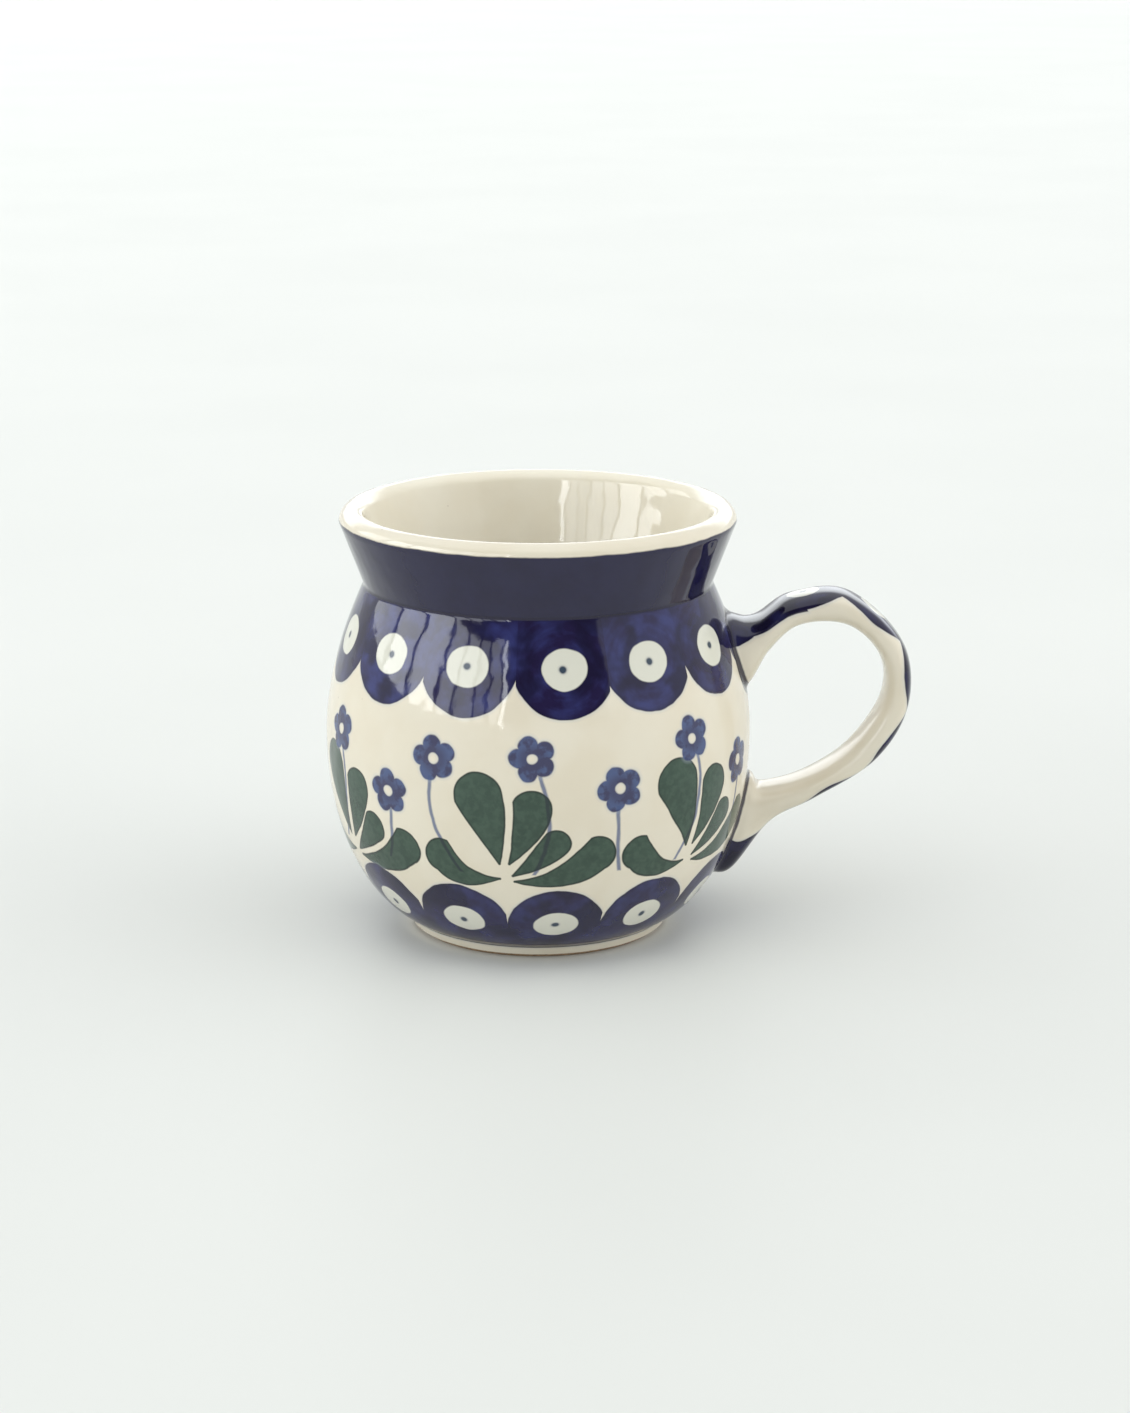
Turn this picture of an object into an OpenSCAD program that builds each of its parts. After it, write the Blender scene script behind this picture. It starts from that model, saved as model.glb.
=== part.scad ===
// Bellied stoneware mug with a strap handle, wheel-shaped pot on a low foot ring.
// Origin at the centre of the foot ring's contact plane, +Z up, handle towards +X.

/* [Pot] */
// Radius of the belly at its widest
belly_r = 45; // [43:0.5:46]
// Height of the widest belly
belly_z = 42.2; // [40:0.5:45]
// Radius at the crease where the collar starts
neck_r = 36.6; // [36:0.2:38]
// Height of the crease
neck_z = 74.6; // [73:0.2:76]
// Radius of the collar at its widest, just under the rounded lip
collar_r = 41.6; // [40.5:0.2:42.5]
// Height of the widest collar
collar_z = 87.85; // [86:0.2:90]
// Thickness of the lip
lip_t = 5.5; // [4.5:0.1:6]
// Thickness of the wall, glaze included
wall_t = 4.2; // [3.8:0.1:4.6]
// Height of the inside floor at its centre
floor_z = 7.6; // [7:0.2:9]

/* [Foot ring] */
// Radius of the foot ring where it touches the table
foot_r = 27; // [26:0.5:28]
// Height of the foot ring
foot_h = 2.6; // [2.2:0.1:3]
// Width of the bare band that rests on the table
foot_w = 4; // [3:0.5:5]
// Height of the bare rim under the glaze line
bare_h = 0.8; // [0.5:0.1:1.2]
// Depth of the recess under the base
recess_h = 3; // [2.6:0.1:3.4]

/* [Glaze and slip] */
// Thickness of the clear glaze
glaze_t = 0.3; // [0.2:0.05:0.4]
// Thickness of the slip that joins the handle to the pot
slip_t = 0.8; // [0.6:0.1:1.2]

/* [Handle] */
// Squareness of the handle's section: 2 is an ellipse, more is squarer
section_power = 2.6; // [2:0.1:3.5]
// Points around the handle's section
section_sides = 32; // [16:4:36]
// Rings of the handle between two neighbouring stations
station_steps = 4; // [2:1:5]

/* [Hidden] */
$fn = 128;

// Segments along each curve of the pot's outline, and around half of the lip
curve_steps = 12;
lip_steps = 5;
// Slope of the belly where it leaves the foot, and of the shoulder where it meets the crease
foot_slope = 26.6;
shoulder_slope = 65.3;
// How far each end of the belly's and the shoulder's curves runs straight on
belly_pull = [9.4, 22.2];
shoulder_pull = [11.2, 10.3];
// The same for the inside, from the middle of the floor to the belly
bowl_pull = [34, 27];
// Height that tells the upper handle root from the lower one
root_split_z = 45;
// Stations down the glazed handle, from the upper root to the lower one. Each holds the outer edge's
// x and z, the inner edge's x and z, and the width. The end stations lie inside the pot's wall.
handle_stations = [
    [36.0, 69.5, 40.0, 51.5, 17.0],
    [41.5, 66.8, 44.5, 52.6, 16.5],
    [45.8, 66.5, 48.9, 60.0, 15.0],
    [53.2, 71.2, 55.3, 65.3, 13.5],
    [65.6, 71.7, 65.2, 65.1, 13.5],
    [77.1, 61.0, 72.1, 58.4, 13.5],
    [78.4, 47.5, 72.8, 49.1, 13.5],
    [71.7, 35.8, 66.2, 38.7, 13.5],
    [58.9, 27.5, 56.9, 32.2, 13.5],
    [49.4, 22.2, 47.8, 29.8, 14.0],
    [40.9, 11.3, 45.3, 32.2, 16.0],
    [35.5, 11.0, 40.0, 33.0, 17.0],
];

// Colours of the fired clay, the slip and the glaze
clay_colour = "tan";
slip_colour = "burlywood";
glaze_colour = "ivory";

// Points of a cubic Bezier curve from a to d, without its last point
function bezier(a, b, c, d, steps) = [
    for (i = [0 : steps - 1]) let (t = i / steps, s = 1 - t)
        s * s * s * a + 3 * s * s * t * b + 3 * s * t * t * c + t * t * t * d
];

// Point of a Catmull-Rom curve between b and c
function between(a, b, c, d, t) =
    (2 * b + (c - a) * t + (2 * a - 5 * b + 4 * c - d) * t * t + (3 * b - a - 3 * c + d) * t * t * t) / 2;

function unit(v) = v / norm(v);

// Moves an outline sideways by depth, to the left of its direction
function inset(path, depth) = [
    for (i = [0 : len(path) - 1])
        let (before = path[max(i - 1, 0)], after = path[min(i + 1, len(path) - 1)],
             along = unit(after - before))
            path[i] + depth * [-along[1], along[0]]
];

// The same, with its last point put back on the axis
function inset_to_axis(path, depth) =
    let (moved = inset(path, depth), last = len(path) - 1)
        [for (i = [0 : last]) i < last ? moved[i] : [0, path[last][1] - depth]];

function backwards(path) = [for (i = [len(path) - 1 : -1 : 0]) path[i]];

function first_points(path, count) = [for (i = [0 : count - 1]) path[i]];

function last_points(path, count) = [for (i = [len(path) - count : len(path) - 1]) path[i]];

// Outline of the glazed outside, from the glaze line on the foot to the crown of the lip
lip_r = lip_t / 2;
lip_centre = [collar_r - lip_r, collar_z];
foot_top = [foot_r + 1, foot_h];
outside = concat(
    [[foot_r + bare_h / foot_h, bare_h]],
    bezier(foot_top, foot_top + belly_pull[0] * [cos(foot_slope), sin(foot_slope)],
           [belly_r, belly_z - belly_pull[1]], [belly_r, belly_z], curve_steps),
    bezier([belly_r, belly_z], [belly_r, belly_z + shoulder_pull[0]],
           [neck_r, neck_z] + shoulder_pull[1] * [cos(shoulder_slope), -sin(shoulder_slope)],
           [neck_r, neck_z], curve_steps),
    [[neck_r, neck_z]],
    [for (i = [0 : lip_steps]) lip_centre + lip_r * [cos(90 * i / lip_steps), sin(90 * i / lip_steps)]]
);

// Outline of the glazed inside, from just past the crown of the lip to the middle of the floor
inside_belly = [belly_r - wall_t, belly_z];
inside_neck = [neck_r - wall_t, neck_z];
inside_lip = lip_centre - [lip_r, 0];
inside = concat(
    [for (i = [1 : lip_steps]) lip_centre + lip_r * [-sin(90 * i / lip_steps), cos(90 * i / lip_steps)]],
    [inside_neck + 0.2 * (inside_lip - inside_neck)],
    bezier(inside_neck, inside_neck + 0.8 * shoulder_pull[1] * [cos(shoulder_slope), -sin(shoulder_slope)],
           inside_belly + [0, shoulder_pull[0]], inside_belly, curve_steps),
    bezier(inside_belly, inside_belly - [0, bowl_pull[1]], [bowl_pull[0], floor_z], [0, floor_z], curve_steps),
    [[0, floor_z]]
);

// Outline of the glazed recess under the base, from the glaze line on the foot to the axis
recess_r = foot_r - foot_w;
recess = concat(
    bezier([recess_r, bare_h], [recess_r, recess_h], [recess_r, recess_h],
           [recess_r - recess_h, recess_h], lip_steps),
    [[recess_r - recess_h, recess_h], [0, recess_h]]
);

// Outlines of the glaze's outside, and of the clay under it
coat_line = concat(outside, inside);
clay_line = inset_to_axis(coat_line, glaze_t);
recess_clay = concat(
    first_points(inset(recess, -glaze_t), len(recess) - 1),
    [[0, recess_h + glaze_t]]
);

// Solid turned on the potter's wheel from an outline
module turned(outline) rotate_extrude() polygon(outline);

// Everything within the pot's outside, out to depth under the glaze's surface
module pot_filled(depth) {
    line = inset(first_points(coat_line, len(outside)), depth);
    turned(concat([[0, line[0][1]]], line, [[0, line[len(line) - 1][1]]]));
}

// Shell of slip laid on the clay
module slip_shell() {
    clay = first_points(clay_line, len(outside));
    slip = inset(first_points(coat_line, len(outside)), glaze_t - slip_t);
    turned(concat(slip, backwards(clay)));
}

// Rings of the handle, each as the outer edge, the inner edge and the width
function handle_rings() =
    let (s = handle_stations, n = len(s),
         all = concat([2 * s[0] - s[1]], s, [2 * s[n - 1] - s[n - 2]]))
        concat(
            [for (i = [1 : n - 1], k = [0 : station_steps - 1])
                between(all[i - 1], all[i], all[i + 1], all[i + 2], k / station_steps)],
            [s[n - 1]]
        );

// Side of zero, with the size raised to a power
function signed_power(v, power) = sign(v) * pow(abs(v), power);

// Points of one ring, a squarish oval that lies depth under the glaze's surface
function ring_points(ring, depth) =
    let (outer = [ring[0], ring[1]], inner = [ring[2], ring[3]],
         middle = (outer + inner) / 2, across = unit(outer - inner),
         half_t = norm(outer - inner) / 2 - depth, half_w = ring[4] / 2 - depth)
        [for (i = [0 : section_sides - 1])
            let (a = 360 * i / section_sides,
                 p = middle + across * half_t * signed_power(cos(a), 2 / section_power))
                [p[0], half_w * signed_power(sin(a), 2 / section_power), p[1]]];

// The bent strap from wall to wall, depth under the glaze's surface and spare rings shorter at each end
module strap(depth, spare) {
    rings = handle_rings();
    used = [for (i = [spare : len(rings) - 1 - spare]) rings[i]];
    count = len(used);
    sides = section_sides;
    points = [for (ring = used) each ring_points(ring, depth)];
    walls = [
        for (i = [0 : count - 2], k = [0 : sides - 1])
            let (a = i * sides + k, b = i * sides + (k + 1) % sides)
                each [[a, b, b + sides], [a, b + sides, a + sides]]
    ];
    caps = [
        [for (k = [sides - 1 : -1 : 0]) k],
        [for (k = [0 : sides - 1]) (count - 1) * sides + k]
    ];
    polyhedron(points, concat(walls, caps));
}

// Half-space above or below the height between the two roots
module root_side(upper) {
    size = 4 * belly_r;
    translate([-size / 2, -size / 2, upper ? root_split_z : root_split_z - size]) cube(size);
}

module root_slip(upper) {
    intersection() {
        slip_shell();
        strap(glaze_t, 0);
        root_side(upper);
    }
}

module mug_body() {
    color(clay_colour) turned(concat(
        [[foot_r - glaze_t, bare_h / 2], [foot_r - bare_h, 0], [recess_r + bare_h, 0], [recess_r, bare_h / 2]],
        recess_clay,
        backwards(clay_line)
    ));
}

module handle() {
    color(clay_colour) difference() {
        strap(glaze_t, 0);
        pot_filled(glaze_t - slip_t);
    }
}

module upper_handle_slip() {
    color(slip_colour) root_slip(true);
}

module lower_handle_slip() {
    color(slip_colour) root_slip(false);
}

module outer_glaze() {
    count = len(outside);
    color(glaze_colour) difference() {
        turned(concat(first_points(coat_line, count), backwards(first_points(clay_line, count))));
        strap(glaze_t, 0);
    }
}

module handle_glaze() {
    color(glaze_colour) difference() {
        strap(0, 1);
        strap(glaze_t, 0);
        pot_filled(0);
    }
}

module inner_glaze() {
    count = len(inside) + 1;
    color(glaze_colour) turned(concat(last_points(coat_line, count), backwards(last_points(clay_line, count))));
}

module foot_glaze() {
    color(glaze_colour) turned(concat(recess, backwards(recess_clay)));
}

mug_body();
handle();
upper_handle_slip();
lower_handle_slip();
outer_glaze();
handle_glaze();
inner_glaze();
foot_glaze();
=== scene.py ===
"""Bellied stoneware mug, brush-painted under a clear glaze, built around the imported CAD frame."""

import math

import bmesh
import bpy
import numpy as np
from mathutils import Matrix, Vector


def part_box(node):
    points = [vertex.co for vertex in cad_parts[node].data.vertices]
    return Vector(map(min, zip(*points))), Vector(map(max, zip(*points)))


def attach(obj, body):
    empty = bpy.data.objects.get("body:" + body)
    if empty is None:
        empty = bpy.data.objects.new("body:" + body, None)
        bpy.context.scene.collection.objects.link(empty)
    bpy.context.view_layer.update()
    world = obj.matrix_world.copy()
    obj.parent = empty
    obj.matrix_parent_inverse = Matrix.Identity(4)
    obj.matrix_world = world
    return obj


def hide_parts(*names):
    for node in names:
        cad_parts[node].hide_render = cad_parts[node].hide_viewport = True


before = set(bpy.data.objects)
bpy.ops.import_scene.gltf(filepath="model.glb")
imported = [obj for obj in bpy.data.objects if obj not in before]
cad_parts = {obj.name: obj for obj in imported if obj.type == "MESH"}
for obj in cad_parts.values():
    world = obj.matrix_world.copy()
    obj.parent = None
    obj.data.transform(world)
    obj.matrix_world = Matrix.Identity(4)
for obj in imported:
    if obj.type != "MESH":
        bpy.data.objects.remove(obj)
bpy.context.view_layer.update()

MM = 0.001
BODY = "root"

# ---- Pot outline: (radius, height) in millimetres ----
# A PULL is how far the control point of a curve lies from the end that it belongs to
BELLY = np.array([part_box("outer_glaze")[1].y / MM, 42.2])
BELLY_PULL_DOWN = 22.2
BELLY_PULL_UP = 11.2
NECK = np.array([36.6, 74.6])
NECK_PULL = 10.3
NECK_SLOPE = -65.3
LIP_R = 2.75
LIP_CENTRE = np.array([38.85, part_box("outer_glaze")[1].z / MM - LIP_R])
INNER_LIP_END = 166
FOOT_R = 27.0
FOOT_TOP = np.array([28.0, 2.6])
FOOT_PULL = 9.4
FOOT_SLOPE = 26.6
BARE_H = 0.8
WALL_T = 4.2
FLOOR_Z = 7.6
BOWL_PULL = (34, 27)
FLARE_BULGE = np.array([0.3, 0])
GLAZE_T = 0.3
RECESS_R = 23.0
RECESS_H = 3.0
# How far from a corner its rounding starts, and the least step to the next point
CREASE_REACH = 0.6
FOOT_REACH = 0.6
INNER_CREASE_REACH = 1.6
CORNER_CLEARANCE = 0.05
COLUMNS = 288
# Length of the outline from the table to the start of the outer coat
FOOT_ARC = 0.86

# ---- Handle, in millimetres ----
SECTION_POWER = 2.6
# Stations from the upper root to the lower one: x and z of the outer edge, x and z of the inner, and width
STATIONS = np.array([
    [36.0, 69.5, 40.0, 51.5, 17.0],
    [41.5, 66.8, 44.5, 52.6, 16.5],
    [45.8, 66.5, 48.9, 60.0, 15.0],
    [53.2, 71.2, 55.3, 65.3, 13.5],
    [65.6, 71.7, 65.2, 65.1, 13.5],
    [77.1, 61.0, 72.1, 58.4, 13.5],
    [78.4, 47.5, 72.8, 49.1, 13.5],
    [71.7, 35.8, 66.2, 38.7, 13.5],
    [58.9, 27.5, 56.9, 32.2, 13.5],
    [49.4, 22.2, 47.8, 29.8, 14.0],
    [40.9, 11.3, 45.3, 32.2, 16.0],
    [35.5, 11.0, 40.0, 33.0, 17.0],
])
HANDLE_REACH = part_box("handle_glaze")[1].x / MM
STATION_STEPS = 40
SECTION_SIDES = 72
HANDLE_ROWS = 150
FILLET_R = 1.1
FILLET_ROWS = 8
FILLET_STRETCH = 1.25
FILLET_CROWDING = 1.6
FILLET_TO_NEXT_ROW = 0.35
# How deep the coat's edges lie under the pot's surface
SUNK_EDGE = 0.02
# Heights between which the handle meets the pot's wall
WALL_ZONE = (5, 74)

# ---- Painted pattern: azimuths in degrees from the front, towards the handle; lengths in millimetres ----
TOP_EYES = 13
TOP_EYE_PHASE = 6.5
TOP_EYE_ARC = 71.45
TOP_EYE_CROWDING = 1.64
# Eyes that sit off their even place: number and degrees
TOP_EYE_SLIPS = {0: 1.2}
PATTERN_SEED = 7
# Seed for how thin each eye's blue is: the eyes vary as brushed, and the seed makes the front eye the
# densest, which is painted shade
EYE_THINNESS_AND_SHADE_SEED = 3806
FOOT_EYES = 12
FOOT_EYE_PHASE = 5.5
FOOT_EYE_ARC = 14.8
FANS = 6
FAN_STEP = 54.9
FAN_FIRST = 45.3
FAN_ARC = 28.0
FAN_CELL_SHIFT = 4.3
FLOWER_GROUP_STEP = 2 * FAN_STEP
FLOWER_GROUP_FIRST = -9.6
# Each flower of a group: azimuth, arc, turn, the stem's bow and the stem's lean
FLOWERS = [
    (-18.4, 52.4, 30, -1.8, 4.8),
    (8.0, 53.9, 36, 3.3, 0.2),
    (31.0, 46.7, 38, -0.3, 0.7),
    (54.0, 54.4, 30, 2.6, -2.7),
    (76.6, 45.6, 28, 0.6, -2.0),
]
STEM_FOOT_ARC = 28.5
# How much lower each group of flowers and each fan is painted
GROUP_DROPS = (0, 1.5, 0.6)
FAN_DROPS = (0, 0, 1.2, 0.8, 0.2, 0.5)
# Degrees by which the flowers of each group are turned from those of the group before
GROUP_TURN = 4
# Each leaf of a fan: tip, centre of the rounded end, radius of that end, bend of the spine
LEAVES = [
    ((-0.9, -0.5), (-13.1, 3.9), 3.9, 2.3),
    ((-0.7, 3.2), (-4.8, 17.6), 5.3, -0.4),
    ((1.3, 3.2), (6.2, 15.3), 4.2, -0.7),
    ((1.8, 0.3), (10.9, 7.9), 3.2, -0.4),
    ((2.1, -1.1), (19.4, 5.2), 4.0, -2.1),
]
CREASE_ARC = 81.6
COLLAR_TOP_ARC = 96.1
# The gap given to points far from the handle's roots, and the x past which a point may be near one
FAR_GAP = 50.0
HANDLE_SIDE_X = 25


# ======================= Outline =======================
def bezier(a, b, c, d, steps):
    """A curve from a to d, pulled towards b and c."""
    t = np.linspace(0, 1, steps + 1)[:, None]
    s = 1 - t
    return s**3 * a + 3 * s * s * t * b + 3 * s * t * t * c + t**3 * d


def slope(degrees):
    """The unit direction at this angle above the horizontal."""
    return np.array([math.cos(math.radians(degrees)), math.sin(math.radians(degrees))])


def line(a, b, steps):
    t = np.linspace(0, 1, steps + 1)[:, None]
    return a + (b - a) * t


def lengths(path):
    """Length of the path up to each of its points."""
    return np.concatenate([[0], np.cumsum(np.linalg.norm(np.diff(path, axis=0), axis=1))])


def at_length(path, wanted):
    run = lengths(path)
    return np.stack([np.interp(wanted, run, path[:, k]) for k in range(path.shape[1])], axis=-1)


def join(before, after, reach):
    """Two outlines that meet at a corner, with the corner rounded off within reach of it."""
    run_b, run_a = lengths(before), lengths(after)
    start, end = at_length(before, run_b[-1] - reach), at_length(after, reach)
    t = np.linspace(0, 1, 9)[:, None]
    corner = (1 - t) ** 2 * start + 2 * t * (1 - t) * before[-1] + t * t * end
    cut = reach + CORNER_CLEARANCE
    return np.vstack([before[run_b < run_b[-1] - cut], corner, after[run_a > cut]])


def lip_arc(first, last, steps):
    """Points round the lip, between two angles in degrees above the horizontal."""
    a = np.radians(np.linspace(first, last, steps + 1))
    return LIP_CENTRE + LIP_R * np.stack([np.cos(a), np.sin(a)], axis=1)


def outside_line():
    """The pot's glazed outside, from just above the bare foot to the crown of the lip."""
    foot_start = np.array([FOOT_R + (FOOT_TOP[0] - FOOT_R) * BARE_H / FOOT_TOP[1], BARE_H])
    foot = line(foot_start, FOOT_TOP, 5)
    low_pull = FOOT_TOP + FOOT_PULL * slope(FOOT_SLOPE)
    belly = bezier(FOOT_TOP, low_pull, BELLY - (0, BELLY_PULL_DOWN), BELLY, 50)
    neck_pull = NECK + NECK_PULL * slope(NECK_SLOPE)
    upper = bezier(BELLY, BELLY + (0, BELLY_PULL_UP), neck_pull, NECK, 36)
    collar = np.vstack([line(NECK, lip_arc(0, 0, 0)[0], 14), lip_arc(0, 90, 12)[1:]])
    body = np.vstack([belly, upper[1:]])
    return join(join(foot, body, FOOT_REACH), collar, CREASE_REACH)


def inside_line():
    """The pot's glazed inside, from the crown of the lip to the middle of the floor."""
    belly = BELLY - (WALL_T, 0)
    neck = NECK - (WALL_T, 0)
    lip = lip_arc(INNER_LIP_END, INNER_LIP_END, 0)[0]
    upper_pull = lip * 0.6 + neck * 0.4 + FLARE_BULGE
    lower_pull = lip * 0.3 + neck * 0.7 + FLARE_BULGE
    flare = bezier(lip, upper_pull, lower_pull, neck, 10)
    collar = np.vstack([lip_arc(90, INNER_LIP_END, 12), flare[1:]])
    neck_pull = neck + 0.8 * NECK_PULL * slope(NECK_SLOPE)
    shoulder = bezier(neck, neck_pull, belly + (0, BELLY_PULL_UP), belly, 26)
    floor_pull, middle = np.array([BOWL_PULL[0], FLOOR_Z]), np.array([0, FLOOR_Z])
    bowl = bezier(belly, belly - (0, BOWL_PULL[1]), floor_pull, middle, 40)
    return np.vstack([join(collar, shoulder, INNER_CREASE_REACH), bowl[1:]])


def recess_line():
    """The glazed recess under the base, from the foot ring to the middle."""
    edge, crown = np.array([RECESS_R, BARE_H]), np.array([RECESS_R, RECESS_H])
    curve = bezier(edge, crown, crown, crown - (RECESS_H, 0), 12)
    return np.vstack([curve, line(curve[-1], np.array([0, RECESS_H]), 10)[1:]])


def inset(path, depth):
    """The outline moved by depth to the left of its direction; a point on the axis stays on it."""
    along = np.gradient(path, axis=0)
    along /= np.linalg.norm(along, axis=1)[:, None]
    moved = path + depth * np.stack([-along[:, 1], along[:, 0]], axis=1)
    moved[path[:, 0] < 1e-6, 0] = 0
    return moved


outside, inside, recess = outside_line(), inside_line(), recess_line()


# ======================= Mesh building =======================
def new_object(name, points, faces):
    """An object from points in millimetres."""
    mesh = bpy.data.meshes.new(name)
    mesh.from_pydata((points * MM).tolist(), [], faces)
    obj = bpy.data.objects.new(name, mesh)
    bpy.context.scene.collection.objects.link(obj)
    return obj


def finish_mesh(obj, sharp_degrees=40):
    """Merges the points on the axis, turns the faces outwards and shades the piece smooth."""
    work = bmesh.new()
    work.from_mesh(obj.data)
    bmesh.ops.remove_doubles(work, verts=work.verts, dist=1e-7)
    bmesh.ops.recalc_face_normals(work, faces=work.faces)
    work.to_mesh(obj.data)
    work.free()
    obj.data.shade_smooth()
    obj.data.set_sharp_from_angle(angle=math.radians(sharp_degrees))


def grid_faces(rows, columns, closed):
    last = rows if closed else rows - 1
    i, k = np.meshgrid(np.arange(last), np.arange(columns), indexing="ij")
    a, b = i * columns + k, i * columns + (k + 1) % columns
    c = (i + 1) % rows * columns + (k + 1) % columns
    d = (i + 1) % rows * columns + k
    return np.stack([a, b, c, d], axis=-1).reshape(-1, 4).tolist()


def azimuths(columns):
    """Angles round the pot in radians from the front, starting at the back."""
    return np.linspace(-math.pi, math.pi, columns, endpoint=False)


def turn(profile, columns):
    az = azimuths(columns)[None]
    r, z = profile[:, :1], profile[:, 1:]
    return np.stack([r * np.sin(az), -r * np.cos(az), z + 0 * az], axis=-1)


def turned(name, profile, columns, closed):
    """A piece turned from an outline, which is a closed loop or runs from axis to axis."""
    points = turn(profile, columns)
    return new_object(name, points.reshape(-1, 3), grid_faces(len(profile), columns, closed))


def coat_loop(path, thickness, stride=4):
    """The outline of a coat: its surface, and its underside with fewer points."""
    under = inset(path, thickness)
    kept = sorted({0, len(path) - 1, *range(0, len(path), stride)}, reverse=True)
    return np.vstack([path, under[kept]])


# ======================= Handle surface =======================
def catmull(points, steps):
    """A smooth curve through the points, with steps between each two."""
    ext = np.vstack([2 * points[0] - points[1], points, 2 * points[-1] - points[-2]])
    t = (np.arange(steps) / steps)[:, None]
    parts = []
    for a, b, c, d in zip(ext, ext[1:], ext[2:], ext[3:]):
        square = 2 * a - 5 * b + 4 * c - d
        cube = 3 * b - a - 3 * c + d
        parts.append((2 * b + (c - a) * t + square * t**2 + cube * t**3) / 2)
    return np.vstack([*parts, points[-1:]])


def signed_power(v, power):
    return np.sign(v) * np.abs(v) ** power


def strap_grid():
    """Points of the strap's glazed surface by ring and side, with the length along its outer edge."""
    ring = catmull(STATIONS, STATION_STEPS)
    outer, inner, width = ring[:, 0:2], ring[:, 2:4], ring[:, 4]
    a = 2 * np.pi * np.arange(SECTION_SIDES) / SECTION_SIDES
    up = signed_power(np.cos(a), 2 / SECTION_POWER)[None, :, None]
    side = signed_power(np.sin(a), 2 / SECTION_POWER)[None, :]
    flat = (outer + inner)[:, None] / 2 + (outer - inner)[:, None] / 2 * up
    y = -width[:, None] / 2 * side
    grid = np.stack([flat[..., 0], y, flat[..., 1]], axis=-1)
    return grid, lengths(outer)


def pot_height(points):
    """Distance of points above the pot's outside, with the nearest outline point's normal."""
    r = np.hypot(points[..., 0], points[..., 1])
    flat = np.stack([r, points[..., 2]], axis=-1)
    wall = outside[(outside[:, 1] > WALL_ZONE[0]) & (outside[:, 1] < WALL_ZONE[1])]
    along = np.gradient(wall, axis=0)
    normal = np.stack([along[:, 1], -along[:, 0]], axis=1)
    normal /= np.linalg.norm(normal, axis=1)[:, None]
    gap = np.linalg.norm(flat[..., None, :] - wall, axis=-1)
    near = gap.argmin(axis=-1)
    n = normal[near]
    height = ((flat - wall[near]) * n).sum(axis=-1)
    out = points[..., :2] / r[..., None]
    return height, np.concatenate([out * n[..., :1], n[..., 1:]], axis=-1)


def girth(grid):
    """Distance of each side from the middle of the outer face, measured across the strap."""
    step = np.linalg.norm(np.roll(grid, -1, axis=1) - grid, axis=-1)
    run = np.concatenate([np.zeros((len(grid), 1)), np.cumsum(step, axis=1)], axis=1)[:, :-1]
    whole = step.sum(axis=1)[:, None]
    return np.minimum(run, whole - run)


def surface_normals(grid):
    """Unit normals of a grid of rings, pointing outwards."""
    along = np.gradient(grid, axis=0)
    across = np.roll(grid, -1, axis=1) - np.roll(grid, 1, axis=1)
    n = np.cross(across, along)
    n /= np.linalg.norm(n, axis=-1)[..., None] + 1e-9
    centre = grid.mean(axis=1, keepdims=True)
    return n * np.sign(((grid - centre) * n).sum(axis=-1).mean())


def clipped_rows(start, end):
    """Lengths for the rows of one line: close together in the fillet at each root, even between."""
    near = FILLET_R * (np.arange(FILLET_ROWS) / FILLET_ROWS) ** FILLET_CROWDING * FILLET_STRETCH
    first = start + near[-1] + FILLET_TO_NEXT_ROW
    last = end - near[-1] - FILLET_TO_NEXT_ROW
    middle = np.linspace(first, last, HANDLE_ROWS - 2 * FILLET_ROWS)
    return np.concatenate([start + near, middle, (end - near)[::-1]])


def handle_skin():
    """The strap's surface between its roots, flared into the pot by a small fillet."""
    grid, run = strap_grid()
    height, _ = pot_height(grid)
    across = girth(grid)
    skin = np.zeros((HANDLE_ROWS, SECTION_SIDES, 3))
    along, wide, free = np.zeros((3, HANDLE_ROWS, SECTION_SIDES))
    for k in range(SECTION_SIDES):
        own = lengths(grid[:, k])
        above = np.nonzero(height[:, k] > 0)[0]
        i, j = above[0], above[-1]
        start = np.interp(0, height[i - 1 : i + 1, k], own[i - 1 : i + 1])
        end = np.interp(0, height[[j + 1, j], k], own[[j + 1, j]])
        rows = clipped_rows(start, end)
        for axis in range(3):
            skin[:, k, axis] = np.interp(rows, own, grid[:, k, axis])
        along[:, k] = np.interp(rows, own, run)
        wide[:, k] = np.interp(rows, own, across[:, k])
        free[:, k] = np.minimum(rows - start, end - rows)
    normal = surface_normals(skin)
    height, up = pot_height(skin)
    low = np.clip(FILLET_R - height, 0, FILLET_R)
    flare = FILLET_R - np.sqrt(FILLET_R**2 - low**2)
    sideways = normal - (normal * up).sum(axis=-1)[..., None] * up
    sideways /= np.linalg.norm(sideways, axis=-1)[..., None] + 1e-9
    skin = skin + sideways * flare[..., None]
    skin[..., 0] = np.minimum(skin[..., 0], HANDLE_REACH)
    ends = skin[[0, -1]]
    height, up = pot_height(ends)
    skin[[0, -1]] = ends - up * (height + SUNK_EDGE)[..., None]
    return skin, normal, {"along_mm": along, "girth_mm": wide, "root_mm": free}


def handle_coat():
    """The coat on the handle, and the rings where its surface starts."""
    skin, normal, measures = handle_skin()
    under = (skin - GLAZE_T * normal)[::-1]
    rows = np.vstack([skin, under]).reshape(-1, 3)
    obj = new_object("handle_glaze_coat", rows, grid_faces(2 * HANDLE_ROWS, SECTION_SIDES, True))
    for name, values in measures.items():
        set_points(obj, name, np.vstack([values, values[::-1]]).ravel())
    return obj, skin


# ======================= Attributes for the paint =======================
def set_points(obj, name, values):
    """Stores a number on each point of the mesh."""
    layer = obj.data.attributes.new(name, "FLOAT", "POINT")
    layer.data.foreach_set("value", np.asarray(values, np.float32))


def set_faces(obj, name, values):
    """Stores three numbers on each face of the mesh."""
    layer = obj.data.attributes.new(name, "FLOAT_VECTOR", "FACE")
    layer.data.foreach_set("vector", np.asarray(values, np.float32).ravel())


def wrap(angle):
    """The same angle between -pi and pi."""
    return (angle + math.pi) % (2 * math.pi) - math.pi


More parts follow.
